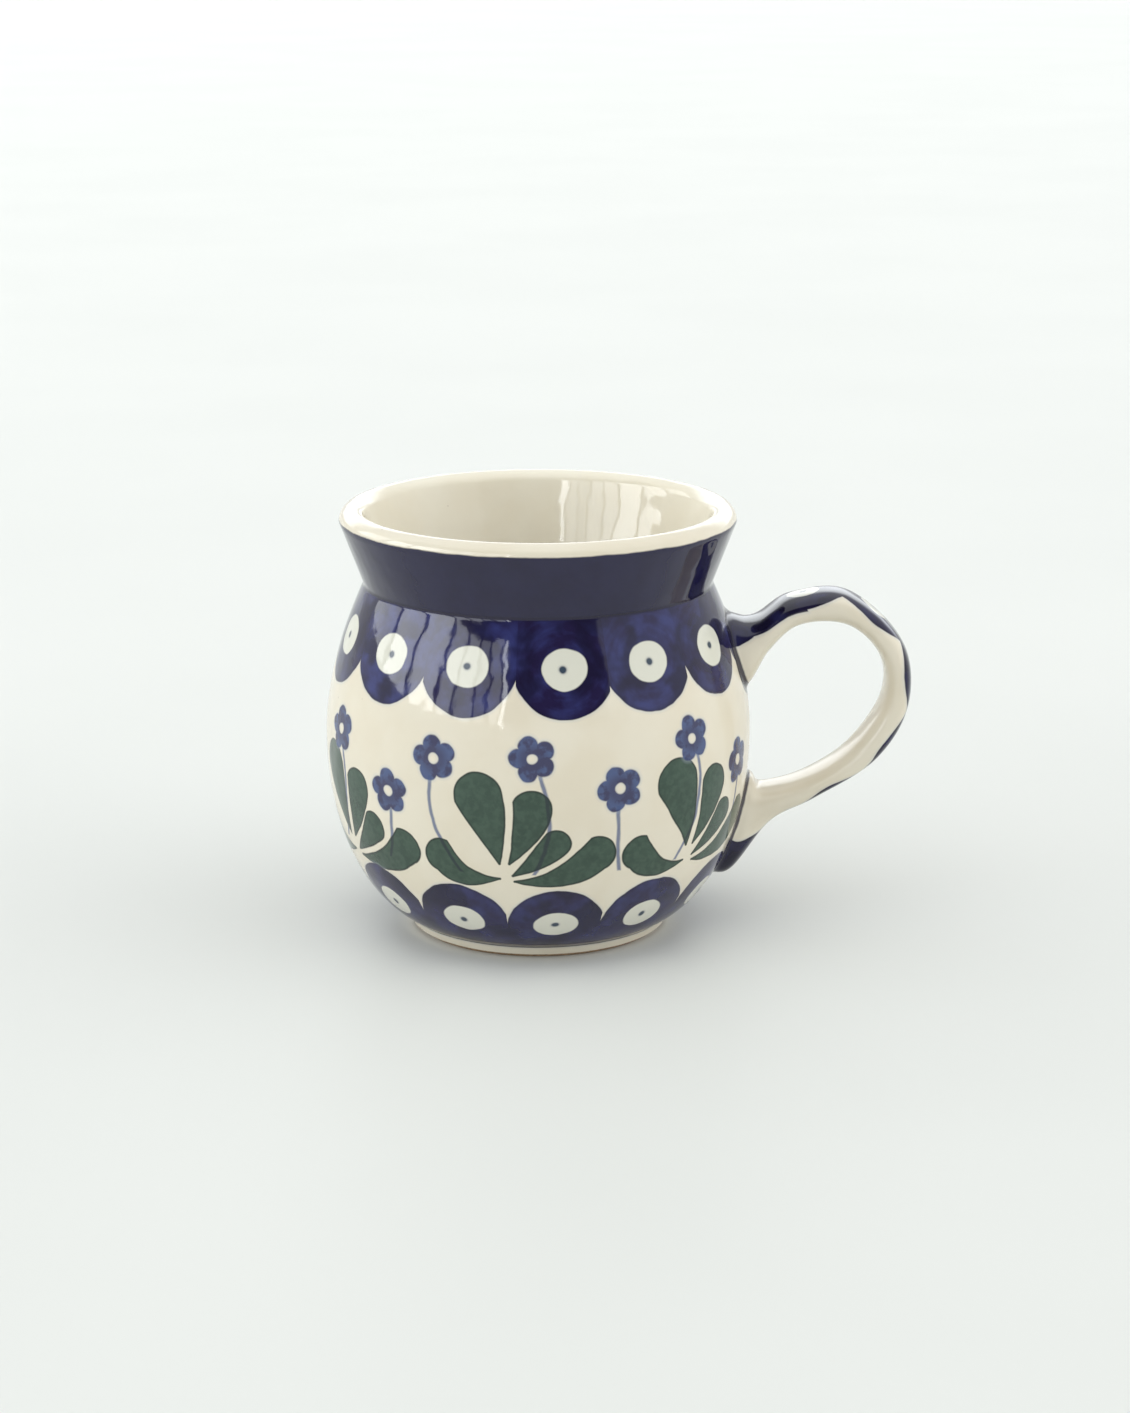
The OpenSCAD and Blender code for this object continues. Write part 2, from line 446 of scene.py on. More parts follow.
def nearest(places, azimuth):
    """For each azimuth, the index of the nearest place round the pot."""
    return np.abs(wrap(azimuth[:, None] - places[None])).argmin(axis=1)


def motif_row(rng, places, arc, wobble):
    """A row of motifs: each one's azimuth, its arc with a hand's wobble, and a number of its own."""
    count = len(places)
    return np.stack([places, arc + rng.normal(0, wobble, count), rng.random(count)], axis=1)


def top_eye_places():
    """Azimuths of the eyes under the collar, a little closer together in front than at the back."""
    places = wrap(np.radians(TOP_EYE_PHASE + 360 / TOP_EYES * np.arange(TOP_EYES)))
    places = places - math.radians(TOP_EYE_CROWDING) * np.sin(places)
    for index, slip in TOP_EYE_SLIPS.items():
        places[index] += math.radians(slip)
    return places


def motif_tables():
    """Where each painted motif is: azimuth in radians, arc in millimetres, and a number of its own."""
    rng = np.random.default_rng(PATTERN_SEED)
    foot_eye_places = np.radians(FOOT_EYE_PHASE + 360 / FOOT_EYES * np.arange(FOOT_EYES))
    fan_places = np.radians(FAN_FIRST - FAN_STEP * np.arange(FANS))
    tables = {"top_eye": motif_row(rng, top_eye_places(), TOP_EYE_ARC, 0.2)}
    tables["top_eye"][:, 2] = np.random.default_rng(EYE_THINNESS_AND_SHADE_SEED).random(TOP_EYES)
    tables["foot_eye"] = motif_row(rng, foot_eye_places, FOOT_EYE_ARC, 0.15)
    tables["fan"] = motif_row(rng, fan_places, FAN_ARC, 0.2)
    tables["fan"][:, 1] -= FAN_DROPS
    flowers, stems = [], []
    for group, drop in enumerate(GROUP_DROPS):
        for azimuth, arc, turn_degrees, bow, lean in FLOWERS:
            place = FLOWER_GROUP_FIRST - FLOWER_GROUP_STEP * group + azimuth
            height = arc + (rng.normal(0, 0.2) - drop)
            flowers.append([math.radians(place), height, math.radians(turn_degrees - GROUP_TURN * group)])
            stems.append([bow, lean, height - STEM_FOOT_ARC])
    tables["flower"] = np.array(flowers)
    tables["stem"] = np.array(stems)
    return tables


def root_gap(points, outlines):
    """Distance from each point to the nearest root outline of the handle, negative inside it."""
    gap = np.full(len(points), FAR_GAP)
    close = points[:, 0] > HANDLE_SIDE_X
    for outline in outlines:
        away = np.linalg.norm(points[close][:, None] - outline[None], axis=-1).min(axis=1)
        middle = outline.mean(axis=0)
        reach = np.linalg.norm(points[close][:, 1:] - middle[1:], axis=1)
        angle = np.arctan2(points[close][:, 2] - middle[2], points[close][:, 1] - middle[1])
        own_angle = np.arctan2(outline[:, 2] - middle[2], outline[:, 1] - middle[1])
        order = np.argsort(own_angle)
        own_reach = np.linalg.norm(outline[:, 1:] - middle[1:], axis=1)
        rim = np.interp(angle, own_angle[order], own_reach[order], period=2 * math.pi)
        gap[close] = np.minimum(gap[close], np.where(reach < rim, -away, away))
    return gap


def outer_coat(outlines):
    """The coat on the pot's outside, which carries the places of its painted motifs."""
    loop = coat_loop(outside, GLAZE_T)
    obj = turned("outer_glaze_coat", loop, COLUMNS, True)
    arc = FOOT_ARC + lengths(outside)
    under = np.interp(loop[len(outside):, 1], outside[:, 1], arc)
    set_points(obj, "arc_mm", np.repeat(np.concatenate([arc, under]), COLUMNS))
    points = turn(loop, COLUMNS).reshape(-1, 3)
    set_points(obj, "root_gap_mm", root_gap(points, outlines))
    step = 2 * math.pi / COLUMNS
    face_azimuth = np.tile(azimuths(COLUMNS) + step / 2, len(loop))
    tables = motif_tables()
    shift = {"fan": math.radians(FAN_CELL_SHIFT)}
    for name in ("top_eye", "foot_eye", "fan", "flower"):
        table = tables[name]
        own = nearest(table[:, 0] + shift.get(name, 0), face_azimuth)
        set_faces(obj, name, table[own])
        if name == "flower":
            set_faces(obj, "stem", tables["stem"][own])
    return obj


# ======================= Shader helpers =======================
class Flow:
    """A number, vector or colour on its way through a shader, with everyday arithmetic."""

    def __init__(self, tree, socket):
        self.tree = tree
        self.socket = socket

    def maths(self, operation, *others, clamp=False):
        node = self.tree.nodes.new("ShaderNodeMath")
        node.operation = operation
        node.use_clamp = clamp
        for slot, value in zip(node.inputs, (self, *others)):
            feed(self.tree, slot, value)
        return Flow(self.tree, node.outputs[0])

    def __add__(self, other):
        return self.maths("ADD", other)

    def __sub__(self, other):
        return self.maths("SUBTRACT", other)

    def __mul__(self, other):
        return self.maths("MULTIPLY", other)

    def __truediv__(self, other):
        return self.maths("DIVIDE", other)

    def least(self, other):
        return self.maths("MINIMUM", other)

    def most(self, other):
        return self.maths("MAXIMUM", other)

    def size(self):
        return self.maths("ABSOLUTE")

    def split(self):
        node = self.tree.nodes.new("ShaderNodeSeparateXYZ")
        feed(self.tree, node.inputs[0], self)
        return [Flow(self.tree, s) for s in node.outputs]

    def scaled(self, factor):
        node = self.tree.nodes.new("ShaderNodeVectorMath")
        node.operation = "SCALE"
        feed(self.tree, node.inputs[0], self)
        node.inputs["Scale"].default_value = factor
        return Flow(self.tree, node.outputs[0])


def feed(tree, slot, value):
    """Links a Flow to a socket, or sets the socket to a plain value."""
    if isinstance(value, Flow):
        tree.links.new(value.socket, slot)
    else:
        slot.default_value = value


def hypot(x, y):
    return (x * x + y * y).maths("SQRT")


def cover(distance, soft=0.22):
    """1 inside a painted shape and 0 outside, over an edge soft millimetres wide."""
    return (distance * (-1 / soft)).maths("ADD", 0.5, clamp=True)


def attribute(tree, name, vector=False):
    node = tree.nodes.new("ShaderNodeAttribute")
    node.attribute_name = name
    return Flow(tree, node.outputs["Vector" if vector else "Fac"])


def object_mm(tree):
    node = tree.nodes.new("ShaderNodeTexCoord")
    return Flow(tree, node.outputs["Object"]).scaled(1 / MM)


def noise(tree, where, size, detail=2.0, colour=False):
    node = tree.nodes.new("ShaderNodeTexNoise")
    feed(tree, node.inputs["Vector"], where)
    node.inputs["Scale"].default_value = 1 / size
    node.inputs["Detail"].default_value = detail
    return Flow(tree, node.outputs["Color" if colour else "Fac"])


def blend(factor, a, b):
    """Colour a where factor is 0 and b where it is 1."""
    node = factor.tree.nodes.new("ShaderNodeMix")
    node.data_type = "RGBA"
    feed(factor.tree, node.inputs[0], factor)
    feed(factor.tree, node.inputs[6], a)
    feed(factor.tree, node.inputs[7], b)
    return Flow(factor.tree, node.outputs[2])


def spread(value, low, high):
    """0 where value is at low, 1 at high, smooth between."""
    node = value.tree.nodes.new("ShaderNodeMapRange")
    node.interpolation_type = "SMOOTHSTEP"
    feed(value.tree, node.inputs[0], value)
    node.inputs[1].default_value = low
    node.inputs[2].default_value = high
    return Flow(value.tree, node.outputs[0])


def bump(tree, height, strength, distance):
    node = tree.nodes.new("ShaderNodeBump")
    node.inputs["Strength"].default_value = strength
    node.inputs["Distance"].default_value = distance
    feed(tree, node.inputs["Height"], height)
    return Flow(tree, node.outputs["Normal"])


def rgb(r, g, b):
    return (r, g, b, 1.0)


def new_material(name):
    material = bpy.data.materials.new(name)
    material.use_nodes = True
    return material, material.node_tree, material.node_tree.nodes["Principled BSDF"]


# ======================= Colours =======================
CREAM = rgb(0.775, 0.715, 0.59)
CREAM_WARM = rgb(0.75, 0.68, 0.545)
# A lighter copy of the outside's cream: painted light for the bright inside of the mug, shared by the
# recess under the base
INNER_CREAM_LIT = rgb(0.84, 0.79, 0.665)
INNER_CREAM_WARM_LIT = rgb(0.815, 0.755, 0.62)
COBALT = rgb(0.015, 0.010, 0.048)
COBALT_DEEP = rgb(0.008, 0.006, 0.026)
COBALT_THIN = rgb(0.034, 0.041, 0.160)
COLLAR_BLUE = rgb(0.0135, 0.0125, 0.048)
EYE_WHITE = rgb(0.70, 0.69, 0.60)
DOT = rgb(0.045, 0.065, 0.095)
GREEN = rgb(0.029, 0.060, 0.042)
GREEN_DEEP = rgb(0.011, 0.024, 0.018)
GREEN_THIN = rgb(0.062, 0.110, 0.078)
PETAL = rgb(0.043, 0.074, 0.20)
PETAL_DEEP = rgb(0.017, 0.019, 0.085)
STEM = rgb(0.085, 0.120, 0.240)
STEM_ON_LEAF = rgb(0.016, 0.028, 0.034)
BLEED = rgb(0.40, 0.46, 0.55)
SPECK = rgb(0.24, 0.17, 0.11)
CLAY = rgb(0.46, 0.31, 0.19)
SLIP = rgb(0.62, 0.50, 0.36)
GRAIN_SHADE = 0.55
FLOOR_PALE = rgb(0.768, 0.778, 0.752)
FLOOR_CLOUD = rgb(0.752, 0.763, 0.737)


# ======================= Glaze =======================
WAVE_HEIGHT = 0.00022
SPECK_SPACING = 7.5
SPECK_R = 0.16
DOT_R = 0.72


def glaze_surface(tree, shader, where, colour):
    """A clear, slightly wavy gloss over a painted colour."""
    broad = noise(tree, where, 11, 1.0)
    middling = noise(tree, where, 5.0, 1.0) * 0.45
    fine = noise(tree, where, 1.6, 2.0) * 0.035
    feed(tree, shader.inputs["Base Color"], colour)
    feed(tree, shader.inputs["Normal"], bump(tree, broad + middling + fine, 1.0, WAVE_HEIGHT))
    feed(tree, shader.inputs["Roughness"], noise(tree, where, 3.0, 3.0) * 0.06 + 0.035)
    shader.inputs["IOR"].default_value = 1.5


def cream_colour(tree, where, pale=CREAM, warm=CREAM_WARM):
    """The pale body colour, with faint clouds and a few iron specks."""
    clouds = spread(noise(tree, where, 14, 3.0), 0.35, 0.7)
    base = blend(clouds, pale, warm)
    cells = tree.nodes.new("ShaderNodeTexVoronoi")
    feed(tree, cells.inputs["Vector"], where)
    cells.inputs["Scale"].default_value = 1 / SPECK_SPACING
    speck = cover(Flow(tree, cells.outputs["Distance"]) * SPECK_SPACING - SPECK_R, 0.2)
    return blend(speck * 0.55, base, SPECK)


def cobalt_colour(tree, where, distance, thin, depth=0.0):
    """Brushed cobalt: streaky, deeper where the colour gathered along its edge."""
    streaks = spread(noise(tree, where, 4.6, 3.0), 0.3, 0.72)
    deep = blend(streaks * 0.6 + thin, COBALT, COBALT_THIN)
    pools = spread(noise(tree, where, 6.5, 2.0), 0.42, 0.62)
    base = blend(pools * 0.75 + depth, deep, COBALT_DEEP)
    return blend(spread(distance, -0.9, -0.1) * 0.5, base, COBALT_DEEP)


def hand_shake(tree, where):
    """Two slow wavers, each about 0.5, that bend every painted edge as a hand does."""
    return noise(tree, where, 5.5, 2.0, colour=True).split()[:2]


def eye_parts(u, v, wide, high, dot_shift):
    """Distances from an eye's pale disc and from its dot."""
    disc = hypot(u, v * (wide / high)) - wide
    dot = hypot(u - dot_shift, v) - DOT_R
    return disc, dot


def bleed(colour, shape):
    """The faint blue that runs out of a cobalt shape under the glaze."""
    return blend(cover(shape - 0.3, 0.9) * 0.35, colour, BLEED)


def paint_eye(colour, shape, disc, dot, blue):
    """A cobalt shape with its bleed, a pale disc on it, and a dot with a thin halo."""
    colour = bleed(colour, shape)
    colour = blend(cover(shape), colour, blue)
    colour = blend(cover(disc, 0.3), colour, EYE_WHITE)
    colour = blend(cover(dot, 1.0) * 0.45, colour, COBALT_THIN)
    return blend(cover(dot, 0.35), colour, DOT)


def paint_root_line(colour, distance):
    """The dark line round a root of the handle."""
    return blend(cover(distance, 0.3) * 0.93, colour, COBALT_DEEP)


def joined(tree, x, y):
    node = tree.nodes.new("ShaderNodeCombineXYZ")
    feed(tree, node.inputs[0], x)
    feed(tree, node.inputs[1], y)
    return Flow(tree, node.outputs[0])


# ======================= Painting on the pot =======================
# In millimetres. A SHAKE is how far a motif's edges waver. A SOLID is how far below the middles of a row of
# eyes the line lies from which the blue is unbroken: up to the collar in the top row, down in the foot row.
LEAF_SHAKE = 0.7
LEAF_TIP_HALF = 0.3
FLOWER_SHAKE = 1.1
PETALS = 5
PETAL_REACH = 2.78
PETAL_R = 2.1
FLOWER_CORE_R = 2.6
FLOWER_EYE_R = 1.15
STEM_HALF = 0.4
STEM_TOP = 3.6
TOP_EYE_SHAKE = 0.8
TOP_EYE_R = 10.6
TOP_EYE_LIFT = 0.35
TOP_EYE_SOLID = 1.8
TOP_DISC = (4.55, 4.25)
FOOT_EYE_SHAKE = 1.0
FOOT_EYE_R = 9.9
FOOT_EYE_STRETCH = 0.98
FOOT_EYE_SOLID = 1.0
FOOT_DISC = (4.5, 3.9)
FOOT_PAINT_ARC = 2.75
FOOT_BAND_ARCS = (7.0, 3.2)
COLLAR_SHAKE = 0.5
# Half the width of the dark line along the crease, which is painted shade
CREASE_SHADE_HALF = 0.35
ROOT_LINE_SHAKE = 0.8
ROOT_LINE_ON_POT = 0.8
ROOT_LINE_ON_HANDLE = 0.65


class PotSurface:
    """Where a point of the pot's surface lies, in millimetres and radians, and how the hand shook."""

    def __init__(self, tree):
        self.tree = tree
        self.where = object_mm(tree)
        x, y, _ = self.where.split()
        self.radius = hypot(x, y)
        self.azimuth = x.maths("ARCTAN2", y * -1)
        self.arc = attribute(tree, "arc_mm")
        self.shake_u, self.shake_v = hand_shake(tree, self.where)

    def motif(self, name, shake):
        """Place relative to the nearest motif of this name, shaken a little, and the motif's own number."""
        azimuth, arc, own = attribute(self.tree, name, vector=True).split()
        angle = (self.azimuth - azimuth).maths("WRAP", math.pi, -math.pi)
        u = angle * self.radius + (self.shake_u - 0.5) * shake
        v = self.arc - arc + (self.shake_v - 0.5) * shake
        return u, v, own

    def noise(self, size, detail):
        return noise(self.tree, self.where, size, detail)


def leaf_distance(place, tip, head, radius, bend):
    """Signed distance from a teardrop leaf that widens from its tip to a round head."""
    tree = place.tree
    span = math.dist(tip, head)
    node = tree.nodes.new("ShaderNodeMapping")
    node.vector_type = "TEXTURE"
    feed(tree, node.inputs["Vector"], place)
    node.inputs["Location"].default_value = (*tip, 0)
    node.inputs["Rotation"].default_value = (0, 0, math.atan2(head[1] - tip[1], head[0] - tip[0]))
    node.inputs["Scale"].default_value = (span, 1, 1)
    along, across, _ = Flow(tree, node.outputs[0]).split()
    share = along.maths("MULTIPLY", 1.0, clamp=True)
    bowed = across - share * (share * -1 + 1) * (4 * bend)
    past = (along - share) * span
    swell = share * (share * share * -0.22 + 1.22)
    width = swell * (radius - LEAF_TIP_HALF) + LEAF_TIP_HALF
    return hypot(bowed, past) - width


def fan_distance(surface):
    """Signed distance from the nearest leaf of the nearest fan."""
    u, v, _ = surface.motif("fan", LEAF_SHAKE)
    place = joined(surface.tree, u, v)
    leaves = leaf_distance(place, *LEAVES[0])
    for leaf in LEAVES[1:]:
        leaves = leaves.least(leaf_distance(place, *leaf))
    return leaves


def paint_leaves(surface, colour, leaves):
    """Grainy, cloudy green that is dark where it gathered along a leaf's edge."""
    grain = spread(surface.noise(1.3, 4.0), 0.38, 0.68)
    cloud = spread(surface.noise(6.0, 3.0), 0.35, 0.7)
    green = blend(grain * 0.45, GREEN, GREEN_THIN)
    green = blend(cloud * 0.35, green, GREEN_THIN)
    green = blend(spread(leaves, -0.6, -0.12) * 0.95, green, GREEN_DEEP)
    return blend(cover(leaves), colour, green)


def stem_distance(surface, u, v):
    """Signed distance from the stem of the nearest flower, which bows and leans on its way down."""
    bow, lean, length = attribute(surface.tree, "stem", vector=True).split()
    share = (v * -1 / length).maths("MULTIPLY", 1.0, clamp=True)
    middle = share * (share * -1 + 1) * bow * 4 + share * share * lean
    beside = (u - middle).size() - STEM_HALF
    return beside.most(v + STEM_TOP).most(v * -1 - length)


def flower_distance(u, v, reach, turned_by):
    """Signed distance from a ring of round petals with a bare middle."""
    half_turn = math.pi / PETALS
    angle = (v.maths("ARCTAN2", u) - turned_by).maths("WRAP", half_turn, -half_turn)
    petal_u = reach * angle.maths("COSINE") - PETAL_REACH
    petal_v = reach * angle.maths("SINE")
    petal = hypot(petal_u, petal_v) - PETAL_R
    return petal.least(reach - FLOWER_CORE_R).most(reach * -1 + FLOWER_EYE_R)


def paint_flowers(surface, colour, leaves):
    """Thin stems, dark where they cross a leaf, and blotchy blue flowers."""
    u, v, turned_by = surface.motif("flower", FLOWER_SHAKE)
    stem_colour = blend(cover(leaves), STEM, STEM_ON_LEAF)
    colour = blend(cover(stem_distance(surface, u, v), 0.35) * 0.85, colour, stem_colour)
    reach = hypot(u, v)
    flower = flower_distance(u, v, reach, turned_by)
    blotch = spread(surface.noise(2.0, 3.0), 0.4, 0.6)
    near_middle = spread(reach, 3.9, 1.6)
    blue = blend(blotch.most(near_middle * 0.75), PETAL, PETAL_DEEP)
    return blend(cover(flower, 0.3) * 0.96, bleed(colour, flower), blue)


def paint_top_eyes(surface, colour):
    """The scallops under the collar: each brushed round its disc, some denser and some thinner, with the
    front one the densest as painted shade.
    """
    tree = surface.tree
    u, v, own = surface.motif("top_eye", TOP_EYE_SHAKE)
    ring = hypot(u, v - TOP_EYE_LIFT) - TOP_EYE_R
    scallop = ring.least(v * -1 - TOP_EYE_SOLID).most(surface.arc - CREASE_ARC - CREASE_REACH)
    disc, dot = eye_parts(u, v, *TOP_DISC, (own - 0.5) * 0.9)
    brushed = joined(tree, u.maths("ARCTAN2", v * -1) * 2, hypot(u, v))
    # Each eye's own number thins its blue; the front eye's number is the lowest, so its darkness is painted
    # shade
    thin = own * 0.55 + spread(noise(tree, brushed, 1.3, 2.0), 0.35, 0.7) * 0.25 - 0.2
    blue = cobalt_colour(tree, surface.where, scallop, thin)
    return paint_eye(colour, scallop, disc, dot, blue)


def paint_foot_eyes(surface, colour):
    """The arches above the foot, which run together into a dark band at the bottom."""
    u, v, own = surface.motif("foot_eye", FOOT_EYE_SHAKE)
    ring = hypot(u * FOOT_EYE_STRETCH, v) - FOOT_EYE_R
    arch = ring.least(v + FOOT_EYE_SOLID).most(surface.arc * -1 + FOOT_PAINT_ARC)
    disc, dot = eye_parts(u, v, *FOOT_DISC, (own - 0.5) * 0.8)
    blue = cobalt_colour(surface.tree, surface.where, arch, 0.05)
    blue = blend(spread(surface.arc, *FOOT_BAND_ARCS) * 0.95, blue, COBALT_DEEP)
    return paint_eye(colour, arch, disc, dot, blue)


def paint_collar(surface, colour):
    """The plain dark collar with its wavering upper edge, and a dark line in the crease below it: painted
    shade, where the cobalt also gathers.
    """
    above = surface.arc - COLLAR_TOP_ARC + (surface.shake_u - 0.5) * COLLAR_SHAKE
    collar = (surface.arc * -1 + CREASE_ARC).most(above)
    banding = spread(surface.noise(5.0, 3.0), 0.3, 0.75)
    blue = blend(banding * 0.4, COLLAR_BLUE, COBALT_DEEP)
    colour = blend(cover(collar, 0.3), colour, blue)
    # A dark line along the crease: painted shade in the concave corner, where the cobalt also gathers
    crease_shade = (surface.arc - CREASE_ARC).size() - CREASE_SHADE_HALF
    return blend(cover(crease_shade, 0.4) * 0.9, colour, COBALT_DEEP)


def pot_paint():
    """The whole painting on the pot, in the order in which its layers cover each other."""
    material, tree, shader = new_material("painted_glaze_pot")
    surface = PotSurface(tree)
    leaves = fan_distance(surface)
    colour = cream_colour(tree, surface.where)
    colour = paint_leaves(surface, colour, leaves)
    colour = paint_flowers(surface, colour, leaves)
    colour = paint_top_eyes(surface, colour)
    colour = paint_foot_eyes(surface, colour)
    colour = paint_collar(surface, colour)
    gap = attribute(tree, "root_gap_mm") + (surface.shake_v - 0.5) * ROOT_LINE_SHAKE
    colour = paint_root_line(colour, gap.size() - ROOT_LINE_ON_POT)
    glaze_surface(tree, shader, surface.where, colour)
    return material


# ======================= Painting on the handle =======================
# Lengths run along the strap's outer edge from its upper root
HANDLE_EYE_FIRST = 22.0
HANDLE_EYE_STEP = 16.25
HANDLE_EYES_END = 97.0
HANDLE_TAIL = 103.5
HANDLE_EYE_REACH = 8.24
HANDLE_EYE_TAPER = -0.03
HANDLE_EYE_LEAST = 7.2
HANDLE_EYE_STRETCH = 0.7
HANDLE_SPINE_HALF = 3.0
UPPER_WIDTH = 14.5
UPPER_TAPER = -0.72
UPPER_LEAST = 8.0
TAIL_TAPER = 0.68
TAIL_OFFSET = 65.7
HANDLE_DISCS = (15, 96)
HANDLE_DISC_R = 3.5
HANDLE_DOT_R = 0.7


def strap_shape(along, across, u):
    """Signed distance from the blue on the strap: the upper end, the row of eyes and the tail."""
    reach = (along * HANDLE_EYE_TAPER + HANDLE_EYE_REACH).most(HANDLE_EYE_LEAST)
    ring = hypot(u * HANDLE_EYE_STRETCH, across) - reach
    eyes = ring.least(across - HANDLE_SPINE_HALF).most(along - HANDLE_EYES_END)
    upper_edge = (along * UPPER_TAPER + UPPER_WIDTH).most(UPPER_LEAST)
    upper = (along - HANDLE_EYE_FIRST).most(across - upper_edge)
    tail = (along * -1 + HANDLE_TAIL).most(across - along * TAIL_TAPER + TAIL_OFFSET)
    return eyes.least(upper).least(tail)


def handle_paint():
    """The painting on the handle: a row of eyes down its outer face, and a line round each root."""
    material, tree, shader = new_material("painted_glaze_handle")
    where = object_mm(tree)
    shake_u, shake_v = hand_shake(tree, where)
    along = attribute(tree, "along_mm") + (shake_u - 0.5) * 1.0
    across = attribute(tree, "girth_mm") + (shake_v - 0.5) * 0.6
    half = HANDLE_EYE_STEP / 2
    u = (along - HANDLE_EYE_FIRST).maths("WRAP", half, -half)
    shape = strap_shape(along, across, u)
    first_disc, last_disc = HANDLE_DISCS
    ends = (along * -1 + first_disc).most(along - last_disc)
    disc = (hypot(u, across) - HANDLE_DISC_R).most(ends)
    dot = (hypot(u, across) - HANDLE_DOT_R).most(ends)
    blue = cobalt_colour(tree, where, shape, 0.0, 0.5)
    colour = paint_eye(cream_colour(tree, where), shape, disc, dot, blue)
    gap = attribute(tree, "root_mm") + (shake_v - 0.5) * ROOT_LINE_SHAKE
    colour = paint_root_line(colour, gap - ROOT_LINE_ON_HANDLE)
    glaze_surface(tree, shader, where, colour)
    return material


# ======================= Plain materials =======================
def plain_glaze():
    """The cream of the inside and of the recess under the base, painted lighter than the outside's cream as
    painted light for the bright inside.
    """
    material, tree, shader = new_material("clear_glaze_cream_lit")
    where = object_mm(tree)
    glaze_surface(tree, shader, where, cream_colour(tree, where, INNER_CREAM_LIT, INNER_CREAM_WARM_LIT))
    return material


def fired_clay(name, base, rough):
    """Bare clay: sandy, with darker grains."""
    material, tree, shader = new_material(name)
    where = object_mm(tree)
    grains = spread(noise(tree, where, 0.5, 4.0), 0.35, 0.7)
    dark = rgb(*(c * GRAIN_SHADE for c in base[:3]))
    feed(tree, shader.inputs["Base Color"], blend(grains, base, dark))
    feed(tree, shader.inputs["Roughness"], grains * 0.15 + rough)
    feed(tree, shader.inputs["Normal"], bump(tree, grains, 0.4, 0.0001))
    return material


def give(obj, material):
    obj.data.materials.clear()
    obj.data.materials.append(material)


# ======================= Pieces =======================
def add_piece(obj, material, slot_name, *nodes):
    """Gives a piece its material and lets it stand for CAD nodes; the slot name is not used."""
    give(obj, material)
    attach(obj, BODY)
    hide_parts(*nodes)


def pot_clay():
    """The fired clay under the coats, bare where it stands on the table."""
    clay_out = inset(np.vstack([outside, inside[1:]]), GLAZE_T)
    rim = np.array([
        [RECESS_R, BARE_H / 2],
        [RECESS_R + BARE_H, 0],
        [FOOT_R - BARE_H, 0],
        [FOOT_R - GLAZE_T, BARE_H / 2],
    ])
    under = inset(recess, -GLAZE_T)[::-1]
    obj = turned("pot_clay", np.vstack([under, rim, clay_out[::2], clay_out[-1:]]), COLUMNS // 2, False)
    finish_mesh(obj)
    return obj


def build_mug():
    """The five finer pieces, and the materials of the CAD nodes that stay under them."""
    clay = fired_clay("stoneware_clay", CLAY, 0.75)
    handle, skin = handle_coat()
    outer = outer_coat([skin[0], skin[-1]])
    inner = turned("inner_glaze_coat", coat_loop(inside, GLAZE_T), COLUMNS, False)
    foot = turned("foot_glaze_coat", coat_loop(recess, -GLAZE_T), COLUMNS // 2, False)
    for obj in (handle, outer, inner, foot):
        finish_mesh(obj)
    clear = plain_glaze()
    add_piece(pot_clay(), clay, "stoneware", "mug_body")
    add_piece(outer, pot_paint(), "painted_glaze", "outer_glaze")
    add_piece(handle, handle_paint(), "painted_glaze", "handle_glaze")
    add_piece(inner, clear, "clear_glaze", "inner_glaze")
    add_piece(foot, clear, "clear_glaze", "foot_glaze")
    give(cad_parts["handle"], clay)
    slip = fired_clay("joining_slip", SLIP, 0.65)
    for node in ("upper_handle_slip", "lower_handle_slip"):
        give(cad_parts[node], slip)


# ======================= Stage =======================
FLOOR_SIZE = 12.0


def build_floor():
    half = FLOOR_SIZE / 2 / MM
    corners = np.array([[-half, -half, 0], [half, -half, 0], [half, half, 0], [-half, half, 0]])
    floor = new_object("floor", corners, [[0, 1, 2, 3]])
    material, tree, shader = new_material("pale_table")
    cloud = spread(noise(tree, object_mm(tree), 160, 2.0), 0.3, 0.7)
    feed(tree, shader.inputs["Base Color"], blend(cloud, FLOOR_PALE, FLOOR_CLOUD))
    shader.inputs["Roughness"].default_value = 0.5
    shader.inputs["Specular IOR Level"].default_value = 0.12
    give(floor, material)


def area_light(name, place, target, size, power, colour):
    """A rectangular light at a place, level, and turned to face its target."""
    light = bpy.data.lights.new(name, "AREA")
    light.shape = "RECTANGLE"
    light.size, light.size_y = size
    light.energy = power
    light.color = colour
    obj = bpy.data.objects.new(name, light)
    bpy.context.scene.collection.objects.link(obj)
    place, target = np.array(place, float), np.array(target, float)
    away = place - target
    back = away / np.linalg.norm(away)
    side = np.cross((0, 0, 1), back)
    side /= np.linalg.norm(side)
    axes = np.stack([side, np.cross(back, side), back, place], axis=1)
    obj.matrix_world = Matrix(axes.tolist() + [[0, 0, 0, 1]])
    return obj


def polar(azimuth, distance, height):
    """A point round the mug, at an azimuth from the front towards the handle."""
    a = math.radians(azimuth)
    return (distance * math.sin(a), -distance * math.cos(a), height)


# Panes of the window on the left: azimuth from and to, and brightness
PANES = [
    (-18, -20.5, 8), (-22, -28, 2.6), (-29.5, -36, 2.1), (-37.5, -47, 3.2), (-48.5, -58, 3.8),
    (-60, -77, 5.8), (-79, -98, 5), (-101, -125, 2.4),
]
PANE_COLOUR = (0.95, 0.98, 1.0)
PANE_BOTTOM = 0.5
PANE_TOP = 1.8
WINDOW_DISTANCE = 3.0
WINDOW_AZIMUTH = -65
WINDOW_HEIGHT = 0.95
WINDOW_TARGET = (0, 0, 0.05)
WINDOW_SIZE = (3.6, 1.6)
WINDOW_POWER = 17
WINDOW_COLOUR = (0.92, 0.99, 1.0)
FAR_PLACE = (-2.6, 4.6, 3.0)
FAR_TARGET = (-0.8, 2.4, 0)
FAR_SIZE = (5.0, 3.0)
FAR_POWER = 30
FAR_COLOUR = (0.98, 1.0, 0.99)


